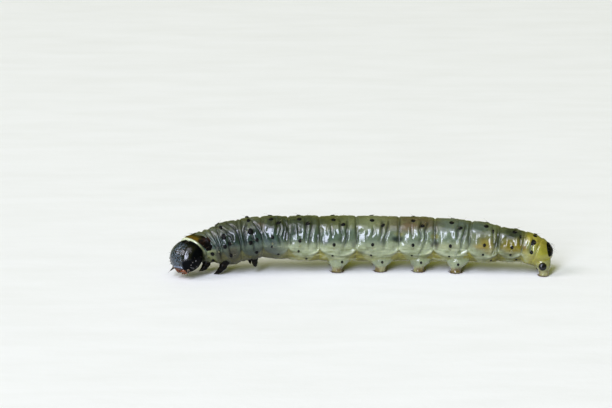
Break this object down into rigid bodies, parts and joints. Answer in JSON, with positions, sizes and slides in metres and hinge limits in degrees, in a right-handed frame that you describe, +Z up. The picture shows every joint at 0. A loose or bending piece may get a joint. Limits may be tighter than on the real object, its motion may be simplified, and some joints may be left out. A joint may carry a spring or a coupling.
{
  "type": "green oak tortrix larva",
  "caption": "Life-size still model of a green oak tortrix larva: a plump ringed grub with a black head, jointed front legs and stub prolegs.",
  "frame": {"origin": "on the floor under the middle of the larva's bounding box", "axes": "+Z up, -X towards the head, -Y the larva's left side"},
  "size_m": [0.0181, 0.0034, 0.0026],
  "materials": {
    "cuticle": "wet, slightly see-through grey-green skin",
    "black_cuticle": "hard glossy black",
    "mouthpart": "satin red-brown",
    "foot": "soft amber-green skin"
  },
  "bodies": {
    "root": {"abdomen_1": "cuticle", "abdomen_10": "cuticle", "abdomen_2": "cuticle", "abdomen_3": "cuticle", "abdomen_4": "cuticle", "abdomen_5": "cuticle", "abdomen_6": "cuticle", "abdomen_7": "cuticle", "abdomen_8": "cuticle", "abdomen_9": "cuticle", "anal_proleg_left": "foot", "anal_proleg_right": "foot", "antenna_left": "black_cuticle", "antenna_right": "black_cuticle", "head": "black_cuticle", "labium": "mouthpart", "labrum": "mouthpart", "leg_front_left": "black_cuticle", "leg_front_right": "black_cuticle", "leg_hind_left": "black_cuticle", "leg_hind_right": "black_cuticle", "leg_middle_left": "black_cuticle", "leg_middle_right": "black_cuticle", "mandible_left": "black_cuticle", "mandible_right": "black_cuticle", "mesothorax": "cuticle", "metathorax": "cuticle", "proleg_3_left": "foot", "proleg_3_right": "foot", "proleg_4_left": "foot", "proleg_4_right": "foot", "proleg_5_left": "foot", "proleg_5_right": "foot", "proleg_6_left": "foot", "proleg_6_right": "foot", "prothorax": "cuticle"}
  },
  "joints": []
}
